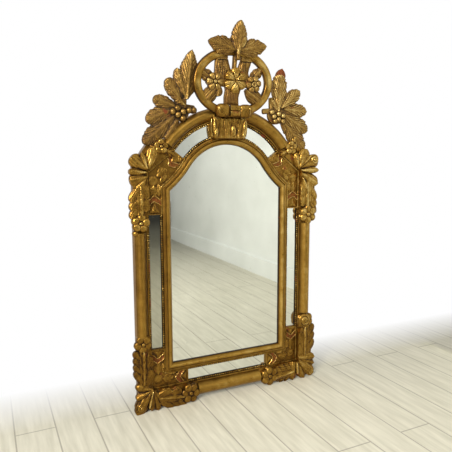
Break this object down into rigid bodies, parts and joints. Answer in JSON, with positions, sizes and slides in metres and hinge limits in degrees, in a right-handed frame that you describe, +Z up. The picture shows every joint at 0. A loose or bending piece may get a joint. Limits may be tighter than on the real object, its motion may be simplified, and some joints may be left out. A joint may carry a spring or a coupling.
{
  "type": "framed wall mirror",
  "caption": "Arched wall mirror in a carved gilt frame with narrow marginal mirror plates, corner shells, and a leaning pierced crest of leaves and flowers; hangs from rings on its back.",
  "frame": {"origin": "on the wall plane, in the back face of the bottom rail, on the frame's middle line", "axes": "+X to the viewer's right, +Z up, -Y out of the glass toward the viewer, +Y into the wall"},
  "size_m": [0.695, 0.1116, 1.2299],
  "materials": {
    "gilt_wood": "carved wood, gesso and worn gold leaf over red bole",
    "mirror_glass": "silvered glass",
    "pine_board": "unfinished softwood, darkened",
    "brass": "dull brass",
    "iron": "dark iron"
  },
  "bodies": {
    "frame": {"arch_flower_left": "gilt_wood", "arch_flower_right": "gilt_wood", "arch_glass_left": "mirror_glass", "arch_glass_right": "mirror_glass", "back_board_left": "pine_board", "back_board_right": "pine_board", "base_glass": "mirror_glass", "bead_strips_arch_left": "gilt_wood", "bead_strips_arch_right": "gilt_wood", "bead_strips_base": "gilt_wood", "bead_strips_side_left": "gilt_wood", "bead_strips_side_right": "gilt_wood", "board_nails": "iron", "centre_glass": "mirror_glass", "crest_finial": "gilt_wood", "crest_flower": "gilt_wood", "crest_posy_left": "gilt_wood", "crest_posy_right": "gilt_wood", "crest_ribbon": "gilt_wood", "crest_ring": "gilt_wood", "crest_seat": "gilt_wood", "crest_spray_left": "gilt_wood", "crest_spray_right": "gilt_wood", "crest_trunk": "gilt_wood", "foot_block_left": "gilt_wood", "foot_block_right": "gilt_wood", "foot_drop_left": "gilt_wood", "foot_drop_right": "gilt_wood", "foot_panel_left": "gilt_wood", "foot_panel_right": "gilt_wood", "foot_shell_left": "gilt_wood", "foot_shell_right": "gilt_wood", "hanger_plate_left": "brass", "hanger_plate_right": "brass", "hanger_screws": "iron", "inner_arch": "gilt_wood", "inner_rail": "gilt_wood", "inner_stile_left": "gilt_wood", "inner_stile_right": "gilt_wood", "keystone_block": "gilt_wood", "keystone_cartouche": "gilt_wood", "outer_arch_left": "gilt_wood", "outer_arch_right": "gilt_wood", "outer_rail": "gilt_wood", "outer_stile_left": "gilt_wood", "outer_stile_right": "gilt_wood", "rail_drop_left": "gilt_wood", "rail_drop_right": "gilt_wood", "shoulder_block_left": "gilt_wood", "shoulder_block_right": "gilt_wood", "shoulder_drop_left": "gilt_wood", "shoulder_drop_right": "gilt_wood", "shoulder_panel_left": "gilt_wood", "shoulder_panel_right": "gilt_wood", "shoulder_shell_left": "gilt_wood", "shoulder_shell_right": "gilt_wood", "side_glass_left": "mirror_glass", "side_glass_right": "mirror_glass"},
    "ring_left": {"hanger_ring_left": "brass"},
    "ring_right": {"hanger_ring_right": "brass"}
  },
  "joints": [
    {"name": "hanging_ring_left_swing", "type": "hinge", "parent": "frame", "child": "ring_left", "pos_m": [-0.306, 0.00371, 0.669], "axis": [1, 0, 0], "range_deg": [0, 180]},
    {"name": "hanging_ring_right_swing", "type": "hinge", "parent": "frame", "child": "ring_right", "pos_m": [0.306, 0.00371, 0.669], "axis": [1, 0, 0], "range_deg": [0, 180]}
  ]
}
